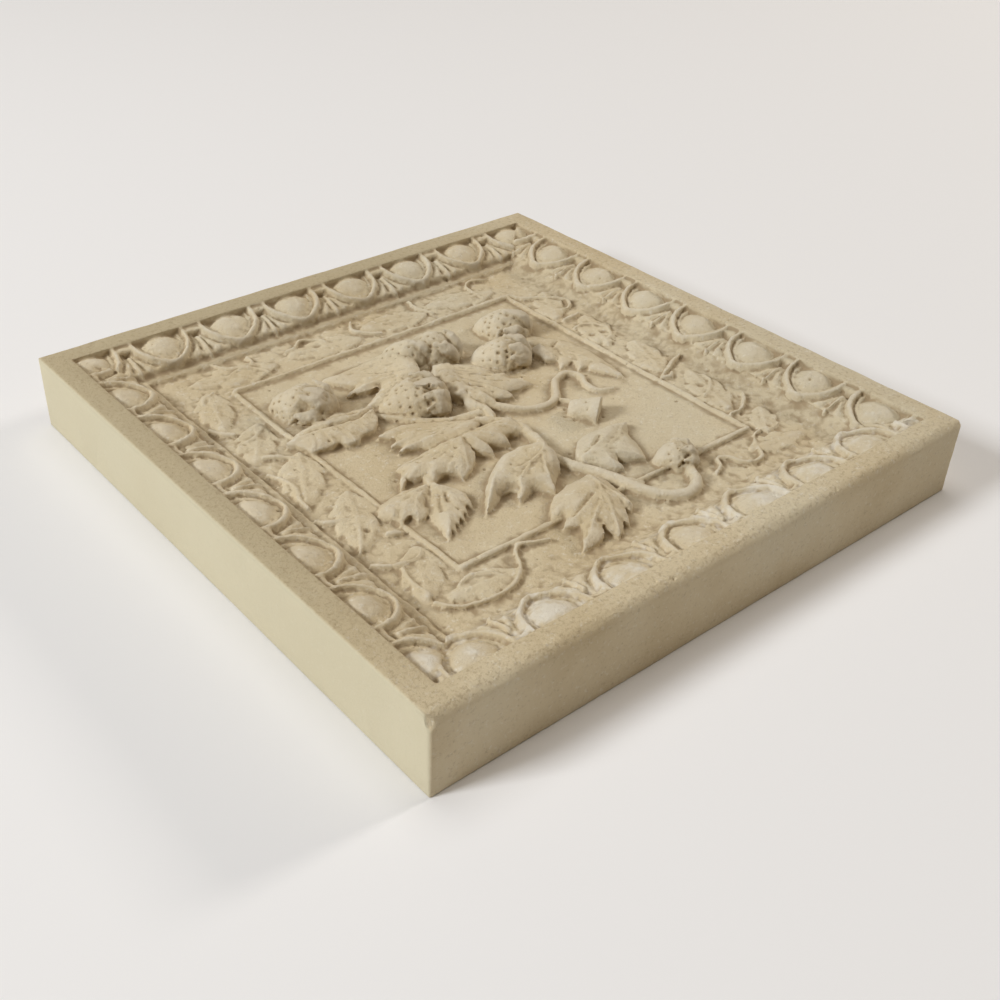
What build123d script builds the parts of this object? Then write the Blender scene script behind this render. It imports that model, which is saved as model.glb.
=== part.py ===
from build123d import *
from math import atan2, cos, degrees, hypot, pi, radians, sin
import os

os.makedirs("parts", exist_ok=True)

# Main sizes in millimetres, origin at the centre of the underside, relief up
tile_side = 203.0
tile_height = 25.0
ground_height = 16.5
rim_width = 8.0
edge_wear = 2.0
corner_wear = 1.6

# Egg and dart moulding, measured outwards from the centre of the tile
rim_inner = tile_side / 2 - rim_width
fillet_outer = 77.3
fillet_inner = 76.3
fillet_height = 18.0
egg_point = 79.9
egg_radius = 7.9
egg_axis_height = 16.3
hoop_top = 24.5
hoop_shoulder = 23.4
hoop_tip_height = 20.6
dart_drop = 0.9
units_in_row = 8

# First unit, spacing and turn of each row: right, back, left, front
rows = [
    (-80.3, 24.6, 0),
    (-86.4, 25.1, 90),
    (-91.9, 25.3, 180),
    (-79.0, 25.0, 270),
]

# Raised line round the middle panel
frame_half = 57.0
frame_width = 2.4
frame_rise = 1.0

# Strawberries: middle x, middle y, way the tip points, length, radius, axis height
berries = [
    (-46.0, 35.2, 125, 21.0, 8.8, 16.1),
    (-16.5, 17.2, 160, 23.0, 10.3, 14.6),
    (-0.7, 41.0, 125, 18.0, 7.6, 16.9),
    (8.0, 38.8, 122, 21.0, 8.6, 16.3),
    (38.4, 38.0, 128, 20.0, 8.6, 16.3),
    (24.5, 22.5, 140, 20.0, 8.4, 16.5),
    (22.6, -18.0, 200, 14.0, 6.2, 16.8),
    (25.8, -55.5, 150, 12.0, 5.8, 17.0),
]

# Leaves: base, tip, half width, points on each side, ridge above the ground
leaves = [
    ((-31.0, 16.2), (-60.0, 20.5), 7.5, 3, 2.6),
    ((-4.0, 42.0), (-30.0, 47.0), 7.0, 2, 3.2),
    ((-8.0, 30.0), (-28.8, 33.6), 5.2, 1, 3.2),
    ((-10.0, 24.0), (-27.6, 25.8), 4.2, 1, 3.0),
    ((0.0, 21.0), (22.0, 3.5), 10.5, 3, 4.8),
    ((-13.0, 0.5), (-37.0, 1.4), 8.0, 3, 3.0),
    ((-4.0, -9.5), (-43.2, -14.2), 7.0, 4, 4.6),
    ((-41.5, -24.0), (-59.0, -28.5), 5.8, 2, 2.6),
    ((-38.0, -24.0), (-48.6, -43.4), 6.8, 4, 2.8),
    ((-8.0, -31.0), (-34.5, -42.0), 6.5, 2, 5.0),
    ((-8.0, -37.0), (-24.0, -45.0), 5.5, 1, 5.0),
    ((1.6, -40.5), (29.6, -32.3), 7.5, 2, 3.8),
    ((1.8, -43.0), (20.0, -48.5), 5.4, 1, 2.8),
    ((-5.0, -50.0), (-24.0, -70.5), 8.5, 3, 4.2),
    ((-4.0, -51.0), (-10.5, -72.0), 6.5, 3, 3.6),
    ((-4.0, -50.0), (-1.5, -67.0), 4.5, 2, 3.0),
    ((57.0, -9.0), (41.5, 11.5), 8.0, 3, 1.4),
    ((40.0, 24.0), (41.0, 11.5), 3.8, 1, 2.6),
]

# Flat leaves in the border outside the raised line
border_leaves = [
    ((-62.0, -48.0), (-70.0, -66.0), 4.5, 1, 1.0),
    ((-48.0, -66.0), (-66.0, -68.0), 4.0, 1, 1.0),
    ((48.0, -66.0), (68.0, -68.0), 4.5, 1, 1.0),
    ((63.0, -40.0), (67.0, -18.0), 5.0, 1, 1.0),
    ((64.0, 2.0), (67.0, 24.0), 5.0, 1, 1.0),
    ((62.0, 48.0), (70.0, 66.0), 4.5, 1, 1.0),
    ((48.0, 65.0), (26.0, 67.0), 5.0, 1, 1.0),
    ((4.0, 64.0), (-20.0, 68.0), 5.0, 1, 1.0),
    ((-44.0, 65.0), (-66.0, 68.0), 4.5, 1, 1.0),
    ((-66.0, 46.0), (-69.0, 24.0), 5.0, 1, 1.0),
    ((-67.0, 4.0), (-68.0, -20.0), 5.0, 1, 1.0),
]

# Stems: points along the middle line, radius
stems = [
    ([(-8, -6), (-1, -13), (-1, -23), (-5, -34), (-5, -46), (-1, -58), (6, -67), (16, -72.5),
      (24, -70), (26.5, -62)], 1.9),
    ([(2, 2), (9, -5), (18, -9.5), (25, -5), (30, 0), (38, -1), (40, -9), (45, -13)], 1.3),
    ([(-40, -24), (-38, -17), (-28, -13)], 1.5),
    ([(-42, 29), (-34, 22), (-27, 16), (-18, 4), (-8, -5)], 1.4),
    ([(25.5, -3), (27.5, -8), (26, -14)], 1.2),
]


def bar(points, length):
    # straight bar along Y from its section, as distance out from the centre and height
    with BuildPart() as strip:
        with BuildSketch(Plane.XZ):
            with BuildLine():
                Polyline(*points, close=True)
            make_face()
        extrude(amount=length / 2, both=True)
    return strip.part


def mitre_cut(piece, near, far):
    # trim a piece of a row to the wedge between the two corner mitres
    with BuildPart() as trimmed:
        add(piece)
        with BuildSketch(Plane.XY.offset(ground_height - 2.0)):
            with BuildLine():
                Polyline((near, -near), (near, near), (far, far), (far, -far), close=True)
            make_face()
        extrude(amount=12, mode=Mode.INTERSECT)
    return trimmed.part


def carved(half_outline, drop, hollow=None):
    # plan outline raised and cut to the sloping top of the moulding
    mirrored = [(out, -side) for out, side in reversed(half_outline)]
    seat = ground_height - 1.0
    slope = [
        (rim_inner + 1.5, hoop_top - drop), (85.5, hoop_shoulder - drop),
        (77.4, hoop_tip_height - drop), (77.4, seat), (rim_inner + 1.5, seat),
    ]
    with BuildPart() as form:
        with BuildSketch(Plane.XY.offset(seat)):
            with BuildLine():
                Polyline(*half_outline, *mirrored[1:], close=True)
            make_face()
            if hollow:
                with BuildLine():
                    back = [(out, -side) for out, side in reversed(hollow)]
                    Polyline(*hollow, *back[1:], close=True)
                make_face(mode=Mode.SUBTRACT)
        extrude(amount=10)
        add(bar(slope, 30), mode=Mode.INTERSECT)
    return form.part


def egg():
    # turned shape lying on its side with the point towards the middle
    with BuildPart() as oval:
        with BuildSketch(Plane.XZ):
            with BuildLine():
                Polyline(
                    (egg_point, egg_axis_height),
                    (82.2, egg_axis_height + egg_radius * 0.66),
                    (87.2, egg_axis_height + egg_radius),
                    (95.0, egg_axis_height + egg_radius * 0.92),
                    (95.0, egg_axis_height),
                    close=True,
                )
            make_face()
        revolve(axis=Axis((0, 0, egg_axis_height), (1, 0, 0)))
    return oval.part


# One hoop, egg and dart of the right-hand side, round the X axis
hoop_shape = carved(
    [(95.0, 12.2), (87.6, 11.3), (81.4, 6.6), (77.6, 0)],
    0,
    [(95.5, 9.8), (87.8, 9.0), (82.9, 5.2), (79.8, 0)],
)
egg_shape = egg()
dart_shape = carved(
    [(95.0, 2.6), (92.2, 2.6), (90.0, 0.8), (86.0, 2.8), (77.9, 0)],
    dart_drop,
)

cove_section = [
    (rim_inner + 1, 22.2), (79.8, 18.7), (78.3, fillet_height), (fillet_outer, fillet_height),
    (fillet_inner, ground_height - 0.6), (rim_inner + 1, ground_height - 0.6),
]
frame_section = [
    (frame_half - frame_width / 2, ground_height - 0.6),
    (frame_half - frame_width / 2, ground_height + 0.3),
    (frame_half - frame_width / 5, ground_height + frame_rise),
    (frame_half + frame_width / 5, ground_height + frame_rise),
    (frame_half + frame_width / 2, ground_height + 0.3),
    (frame_half + frame_width / 2, ground_height - 0.6),
]


def moulding_row(first, pitch):
    # one side of the border: cove, eggs, hoops and darts, and the raised line
    pieces = [
        mitre_cut(bar(cove_section, tile_side), 70, 97),
        mitre_cut(bar(frame_section, frame_half * 2.2), 50, 62),
    ]
    places = []
    for count in range(units_in_row):
        middle = first + pitch * count
        places += [(hoop_shape, middle), (egg_shape, middle), (dart_shape, middle + pitch / 2)]
    for shape, middle in places:
        placed = shape.moved(Location((0, middle, 0)))
        if abs(middle) < 60:
            pieces.append(placed)
        elif abs(middle) < 93:
            pieces.append(mitre_cut(placed, 70, 97))
    return pieces


def leaf(base, tip, half_width, points, ridge):
    # toothed outline under a two-sided roof with its ridge on the midrib
    length = hypot(tip[0] - base[0], tip[1] - base[1])
    steps = points * 2 + 1
    left = []
    for step in range(1, steps + 1):
        along = step / (steps + 1)
        swell = sin(pi * along ** 0.75)
        notch = 1.0 if step % 2 == 1 else 0.68
        left.append((length * along, half_width * swell * notch + 0.5))
    right = [(spot[0], -spot[1]) for spot in reversed(left)]
    turn = degrees(atan2(tip[1] - base[1], tip[0] - base[0]))
    with BuildPart() as blade:
        with BuildSketch(Plane.XY.offset(ground_height - 0.8)):
            with BuildLine():
                Polyline((-0.6, 0), *left, (length, 0), *right, close=True)
            make_face()
        extrude(amount=12)
        with BuildSketch(Plane.YZ.offset(-2.0)):
            with BuildLine():
                Polyline(
                    (-half_width - 2, ground_height - 1.5),
                    (-half_width - 2, ground_height + ridge * 0.25),
                    (0, ground_height + ridge),
                    (half_width + 2, ground_height + ridge * 0.25),
                    (half_width + 2, ground_height - 1.5),
                    close=True,
                )
            make_face()
        extrude(amount=length + 4, mode=Mode.INTERSECT)
    return blade.part.moved(Location((base[0], base[1], 0), (0, 0, turn)))


def berry(middle_x, middle_y, turn, length, radius, height):
    # strawberry shape lying on its side, tip along the turn
    with BuildPart() as fruit:
        with BuildSketch(Plane.XZ):
            with BuildLine():
                Polyline(
                    (-length * 0.50, 0),
                    (-length * 0.43, radius * 0.70),
                    (-length * 0.12, radius),
                    (length * 0.36, radius * 0.62),
                    (length * 0.50, 0),
                    close=True,
                )
            make_face()
        revolve(axis=Axis.X)
    return fruit.part.moved(Location((middle_x, middle_y, height), (0, 0, turn)))


def sepals(middle_x, middle_y, turn, length, radius):
    # short pointed leaves spreading from the stalk end of a strawberry
    heart_x = middle_x - cos(radians(turn)) * length * 0.44
    heart_y = middle_y - sin(radians(turn)) * length * 0.44
    fan = []
    for spread in (-115, 180, 115):
        way = radians(turn + spread)
        reach = radius * 0.95
        tip = (heart_x + cos(way) * reach, heart_y + sin(way) * reach)
        fan.append(leaf((heart_x, heart_y), tip, radius * 0.26, 1, 5.2))
    return fan


def stem(points, radius):
    # six-sided stalk lying half in the ground
    height = ground_height + 0.9
    with BuildPart() as stalk:
        with BuildLine():
            line = Spline(*[(spot[0], spot[1], height) for spot in points])
        with BuildSketch(Plane(origin=line @ 0, x_dir=(0, 0, 1), z_dir=line % 0)):
            RegularPolygon(radius, 6)
        sweep()
    return stalk.part


with BuildPart() as tile:
    Box(tile_side, tile_side, tile_height, align=(Align.CENTER, Align.CENTER, Align.MIN))
    worn = tile.edges().filter_by(Axis.X).group_by(Axis.Y)[0].sort_by(Axis.Z)[-1]
    fillet(worn, radius=edge_wear)
    upright = tile.edges().filter_by(Axis.Z).sort_by(Axis.X)[-2:].sort_by(Axis.Y)[0]
    fillet(upright, radius=corner_wear)
    with BuildSketch(Plane.XY.offset(ground_height)):
        Rectangle(rim_inner * 2, rim_inner * 2)
    extrude(amount=tile_height, mode=Mode.SUBTRACT)

    # Egg and dart rows and the raised line
    relief = []
    for first, pitch, turn in rows:
        for piece in moulding_row(first, pitch):
            relief.append(piece.moved(Location((0, 0, 0), (0, 0, turn))))

    # Strawberry spray
    for base, tip, half_width, points, ridge in leaves + border_leaves:
        relief.append(leaf(base, tip, half_width, points, ridge))
    for points, radius in stems:
        relief.append(stem(points, radius))
    for middle_x, middle_y, turn, length, radius, height in berries:
        relief.append(berry(middle_x, middle_y, turn, length, radius, height))
        relief += sepals(middle_x, middle_y, turn, length, radius)

    add(relief)

tile.part.label = "relief_tile"
export_step(tile.part, "parts/relief_tile.step")
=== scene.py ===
import bpy
import bmesh
import numpy as np
from math import cos, exp, pi, radians, sin
from mathutils import Matrix, Vector


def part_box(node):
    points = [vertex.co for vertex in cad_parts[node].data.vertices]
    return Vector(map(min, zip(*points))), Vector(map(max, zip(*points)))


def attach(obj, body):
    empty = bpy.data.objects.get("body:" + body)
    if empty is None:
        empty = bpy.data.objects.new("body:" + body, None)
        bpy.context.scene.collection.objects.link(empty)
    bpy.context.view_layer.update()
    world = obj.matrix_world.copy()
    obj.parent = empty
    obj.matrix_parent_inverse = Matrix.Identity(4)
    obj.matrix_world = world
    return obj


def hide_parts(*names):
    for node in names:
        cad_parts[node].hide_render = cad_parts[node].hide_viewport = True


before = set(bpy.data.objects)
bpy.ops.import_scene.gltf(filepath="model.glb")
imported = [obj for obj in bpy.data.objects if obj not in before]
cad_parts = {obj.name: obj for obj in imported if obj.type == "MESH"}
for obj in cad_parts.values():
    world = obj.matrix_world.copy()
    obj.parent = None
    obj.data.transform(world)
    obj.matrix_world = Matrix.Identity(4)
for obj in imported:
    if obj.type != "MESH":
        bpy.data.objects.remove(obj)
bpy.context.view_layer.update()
lowCorner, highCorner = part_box("relief_tile")
print("frame loaded")

mm = 0.001  # forms are made in millimetres and scaled at the end
tileSide = round((highCorner.x - lowCorner.x) / mm, 2)
tileHeight = round((highCorner.z - lowCorner.z) / mm, 2)
halfSide = tileSide / 2
ground = 16.5  # level of the panel behind the relief

tileForms = bmesh.new()  # every form is stamped in here, then fused into one casting


def stamp(form, matrix=None):
    # copy a form into the casting
    mesh = bpy.data.meshes.new("stamp")
    form.to_mesh(mesh)
    if matrix is not None:
        mesh.transform(matrix)
    tileForms.from_mesh(mesh)
    bpy.data.meshes.remove(mesh)


def addObject(name, data):
    item = bpy.data.objects.new(name, data)
    bpy.context.scene.collection.objects.link(item)
    return item


def boundaryEdges(items):
    return [item for item in items if isinstance(item, bmesh.types.BMEdge) and item.is_boundary]


def latticeNoise(points, size, seed):
    # smooth noise from -1 to 1 at each point, lumps of about the given size
    rng = np.random.default_rng(seed)
    cells = 32
    lattice = rng.uniform(-1, 1, (cells, cells, cells))
    spot = np.asarray(points, float) / size + 500.0
    cell = np.floor(spot).astype(int)
    part = spot - cell
    part = part * part * (3 - 2 * part)
    cell %= cells
    after = (cell + 1) % cells
    total = np.zeros(len(spot))
    for cornerX in (0, 1):
        for cornerY in (0, 1):
            for cornerZ in (0, 1):
                weight = np.where(cornerX, part[:, 0], 1 - part[:, 0])
                weight = weight * np.where(cornerY, part[:, 1], 1 - part[:, 1])
                weight = weight * np.where(cornerZ, part[:, 2], 1 - part[:, 2])
                pickX = after[:, 0] if cornerX else cell[:, 0]
                pickY = after[:, 1] if cornerY else cell[:, 1]
                pickZ = after[:, 2] if cornerZ else cell[:, 2]
                total += weight * lattice[pickX, pickY, pickZ]
    return total


def smoothPath(points, steps):
    # rounded line through the points
    line = [Vector(point) for point in points]
    line = [line[0] * 2 - line[1]] + line + [line[-1] * 2 - line[-2]]
    path = []
    for index in range(1, len(line) - 2):
        before, start, end, after = line[index - 1:index + 3]
        for step in range(steps):
            t = step / steps
            path.append(0.5 * (
                start * 2 + (end - before) * t
                + (before * 2 - start * 5 + end * 4 - after) * t * t
                + (start * 3 - before - end * 3 + after) * t * t * t
            ))
    path.append(line[-2])
    return path


def roundedRib(points, radius, wall=0.0, widths=(1.0, 1.0), flat=1.0, facing=None, steps=6):
    # round bar along a line, its lower half drawn down into a wall
    path = smoothPath(points, steps)
    upwards = Vector(facing) if facing is not None else Vector((0, 0, 1))
    places = []
    for index, spot in enumerate(path):
        ahead = path[min(index + 1, len(path) - 1)] - path[max(index - 1, 0)]
        ahead.normalize()
        up = (upwards - ahead * upwards.dot(ahead)).normalized()
        side = ahead.cross(up)
        share = index / (len(path) - 1) * (len(widths) - 1)
        low = min(int(share), len(widths) - 2)
        size = radius * (widths[low] + (widths[low + 1] - widths[low]) * (share - low))
        up = up * flat
        places.append(Matrix((
            (side.x * size, up.x * size, ahead.x, spot.x),
            (side.y * size, up.y * size, ahead.y, spot.y),
            (side.z * size, up.z * size, ahead.z, spot.z),
            (0, 0, 0, 1),
        )))
    bm = bmesh.new()
    ring = bmesh.ops.create_circle(bm, cap_ends=False, segments=12, radius=1.0)["verts"]
    bmesh.ops.transform(bm, matrix=places[0], verts=ring)
    rings = [ring]
    edges = firstEdges = list(bm.edges)
    for index in range(1, len(places)):
        made = bmesh.ops.extrude_edge_only(bm, edges=edges)["geom"]
        ring = [item for item in made if isinstance(item, bmesh.types.BMVert)]
        edges = boundaryEdges(made)
        bmesh.ops.transform(bm, matrix=places[index] @ places[index - 1].inverted(), verts=ring)
        rings.append(ring)
    bmesh.ops.contextual_create(bm, geom=firstEdges)
    bmesh.ops.contextual_create(bm, geom=edges)
    if wall:
        for place, ring in zip(places, rings):
            middle = place.to_translation().z
            for vert in ring:
                if vert.co.z < middle - 0.01:
                    vert.co.z -= wall
    bmesh.ops.recalc_face_normals(bm, faces=bm.faces)
    return bm


# Slab: half widths and heights of its rim, cove, fillet and sunk panel from the rim inwards
slab = {
    "steps": [
        (93.5, 25.0), (93.2, 22.4), (89.0, 21.4), (84.0, 20.4), (80.7, 20.0), (79.7, 18.1), (78.6, 17.9),
        (77.3, 18.0), (76.5, 17.7), (76.1, 16.7), (75.6, 16.5),
    ],
}


def makeSlab():
    bm = bmesh.new()
    bmesh.ops.create_cube(bm, size=1)
    bmesh.ops.scale(bm, vec=(tileSide, tileSide, tileHeight), verts=bm.verts)
    bmesh.ops.translate(bm, vec=(0, 0, tileHeight / 2), verts=bm.verts)
    top = max(bm.faces, key=lambda face: face.calc_center_median().z)
    half = halfSide
    for nextHalf, height in slab["steps"]:
        bmesh.ops.inset_region(bm, faces=[top], thickness=half - nextHalf, use_even_offset=True)
        for vert in top.verts:
            vert.co.z = height
        half = nextHalf
    return bm


stamp(makeSlab())
print("slab made")


def awayFromLine(spots, line):
    # distance of each spot from a line of points in plan
    away = np.full(len(spots), 1e9)
    for start, end in zip(line, line[1:]):
        start, end = np.array(start[:2], float), np.array(end[:2], float)
        run = end - start
        share = np.clip(((spots - start) @ run) / max(run @ run, 1e-9), 0, 1)
        away = np.minimum(away, np.linalg.norm(spots - start - share[:, None] * run, axis=1))
    return away


def throughPoints(places, table):
    # value at each place on a line of (place, value) points
    table = sorted(table)
    return np.interp(places, [spot[0] for spot in table], [spot[1] for spot in table])


def closeBelow(bm, depth):
    # draw the boundary of a carved sheet down to a depth and close it
    skirt = bmesh.ops.extrude_edge_only(bm, edges=boundaryEdges(bm.edges))["geom"]
    for item in skirt:
        if isinstance(item, bmesh.types.BMVert):
            item.co.z = depth
    bmesh.ops.contextual_create(bm, geom=boundaryEdges(skirt))
    bmesh.ops.recalc_face_normals(bm, faces=bm.faces)


# Egg and dart rows: first unit, pitch and turn of each row, then distances outwards from the centre,
# distances to the side of the unit's middle, and heights
moulding = {
    "rows": [(-80.3, 24.6, 0), (-86.4, 25.1, 90), (-91.9, 25.3, 180), (-79.0, 25.0, 270)],
    "units": 8,
    "reach": (78.4, 93.9),
    "topLine": [(97.0, 24.5), (91.0, 24.1), (85.5, 23.1), (81.5, 21.8), (79.0, 20.6)],
    "hoopLine": [(97.0, 9.5), (92.5, 9.6), (89.2, 9.3), (86.4, 8.3), (84.0, 6.6), (81.9, 4.2), (80.5, 1.8), (80.1, 0)],
    # height against the hoop's top at each distance from its middle, inside the hoop is negative
    "hoopProfile": [(-9.0, -2.1), (-2.9, -2.1), (-2.5, -1.7), (-2.15, -1.2), (-1.75, -1.4), (-1.4, -2.1), (-1.1, -1.8),
                    (-0.75, -0.2), (-0.3, 0.15), (0.2, 0.15), (0.65, -0.2), (0.95, -1.1), (1.3, -2.4), (1.7, -3.8)],
    "eggMiddle": 89.2, "eggFront": 7.0, "eggBack": 6.2, "eggSide": 6.9, "eggRise": 2.3, "eggDrop": 2.2,
    "dartSide": [(78.8, 0.5), (80.2, 4.2), (81.4, 3.9), (85.5, 2.1), (91.0, 0.7)],
    "dartRidge": [(91.0, 0.2), (86.5, 1.0), (83.5, 2.1), (80.4, 3.8)],
    "dartDrop": 1.3, "dartRise": 0.4, "spineRise": 0.8, "dartEnd": 91.5, "valley": 0.9, "groove": 1.0,
    "eggTaper": 0.12, "eggRound": 0.85, "bridge": 90.7, "bridgeDrop": 0.35, "lowest": 15.0, "foot": 12.0,
}
# small differences between the units, as a hand-cut pattern has
unitRandom = np.random.default_rng(11)


def unitHeights(out, side, pitch):
    # height of one egg, its hoop and half a dart on each side
    top = throughPoints(out, moulding["topLine"])
    arm = moulding["hoopLine"]
    hoop = arm + [(place, -away) for place, away in reversed(arm[:-1])]
    away = awayFromLine(np.column_stack([out, side]), hoop)
    inside = (np.abs(side) < throughPoints(out, arm)) & (out > arm[-1][0])
    level = top + throughPoints(np.where(inside, -away, away), moulding["hoopProfile"])

    reach = np.where(out < moulding["eggMiddle"], moulding["eggFront"], moulding["eggBack"])
    along = (out - moulding["eggMiddle"]) / reach
    width = moulding["eggSide"] * (1 - moulding["eggTaper"] * np.clip(-along, 0, 1))
    ringShare = along ** 2 + (side / width) ** 2
    dome = np.clip(1 - ringShare, 0, 1) ** moulding["eggRound"]
    egg = top - moulding["eggDrop"] + moulding["eggRise"] * dome
    level = np.where(inside & (ringShare < 1), np.maximum(level, egg), level)

    toDart = pitch / 2 - np.abs(side)
    spots = np.column_stack([out, toDart])
    scallop = 78.9 + 0.3 * toDart + 1.1 * np.abs(np.sin(toDart * pi / 4.0))
    flank = toDart - throughPoints(out, moulding["dartSide"]) * 0.45
    valley = -moulding["valley"] * np.exp(-(flank / 0.8) ** 2)
    body = (away > 1.0) & (out > scallop) & (out < moulding["dartEnd"])
    ridge = moulding["dartRise"] * np.exp(-(awayFromLine(spots, moulding["dartRidge"]) / 0.7) ** 2)
    spine = moulding["spineRise"] * np.exp(-(toDart / 0.55) ** 2)
    groove = moulding["groove"] * np.exp(-((away - 1.4) / 0.45) ** 2)
    dart = top - moulding["dartDrop"] + valley + np.maximum(ridge, spine) - groove
    level = np.where(body & ~inside, np.maximum(level, dart), level)
    bridge = ~inside & (out > moulding["bridge"])
    return np.where(bridge, np.maximum(level, top - moulding["bridgeDrop"]), level)


def unitForm(pitch):
    # one unit of a row as a carved sheet closed below
    bm = bmesh.new()
    bmesh.ops.create_grid(bm, x_segments=42, y_segments=66, size=1)
    near, far = moulding["reach"]
    bmesh.ops.scale(bm, vec=((far - near) / 2, pitch / 2 + 0.3, 1), verts=bm.verts)
    bmesh.ops.translate(bm, vec=((far + near) / 2, 0, 0), verts=bm.verts)
    spots = np.array([vert.co.xy for vert in bm.verts])
    swell = 1 + unitRandom.uniform(-0.03, 0.03)
    lean = unitRandom.uniform(-0.03, 0.03)
    levels = unitHeights(spots[:, 0], spots[:, 1] * swell + lean * (spots[:, 0] - near), pitch)
    for vert, level in zip(bm.verts, levels):
        vert.co.z = max(level, moulding["lowest"])
    closeBelow(bm, moulding["foot"])
    return bm


def mitred(form):
    # keep what lies between the two corner mitres
    for turn in (-1, 1):
        geom = list(form.verts) + list(form.edges) + list(form.faces)
        if not geom:
            return form
        cut = bmesh.ops.bisect_plane(
            form, geom=geom, dist=0.001, plane_co=(0, 0, 0), plane_no=(-1, turn, 0), clear_outer=True)
        rim = [item for item in cut["geom_cut"] if isinstance(item, bmesh.types.BMEdge)]
        if rim:
            bmesh.ops.holes_fill(form, edges=rim, sides=0)
    return form


for first, pitch, turn in moulding["rows"]:
    for unit in range(moulding["units"]):
        form = unitForm(pitch)
        bmesh.ops.translate(form, vec=(0, first + pitch * unit, 0), verts=form.verts)
        mitred(form)
        if form.verts:
            stamp(form, Matrix.Rotation(radians(turn), 4, "Z"))
        form.free()
print("egg and dart rows made")


# Raised line round the panel
panelLine = {"half": 57.0, "radius": 0.95, "rises": (0.6, 0.25, 0.5, -0.1)}  # front, right, back, left


def makePanelLine():
    half = panelLine["half"]
    ends = [(-half, -half), (half, -half), (half, half), (-half, half)]
    for index, start in enumerate(ends):
        end = ends[(index + 1) % 4]
        height = ground + panelLine["rises"][index]
        middle = ((start[0] + end[0]) / 2, (start[1] + end[1]) / 2, height)
        line = [(*start, height), middle, (*end, height)]
        stamp(roundedRib(line, panelLine["radius"], 1.0, steps=10))


makePanelLine()


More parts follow.
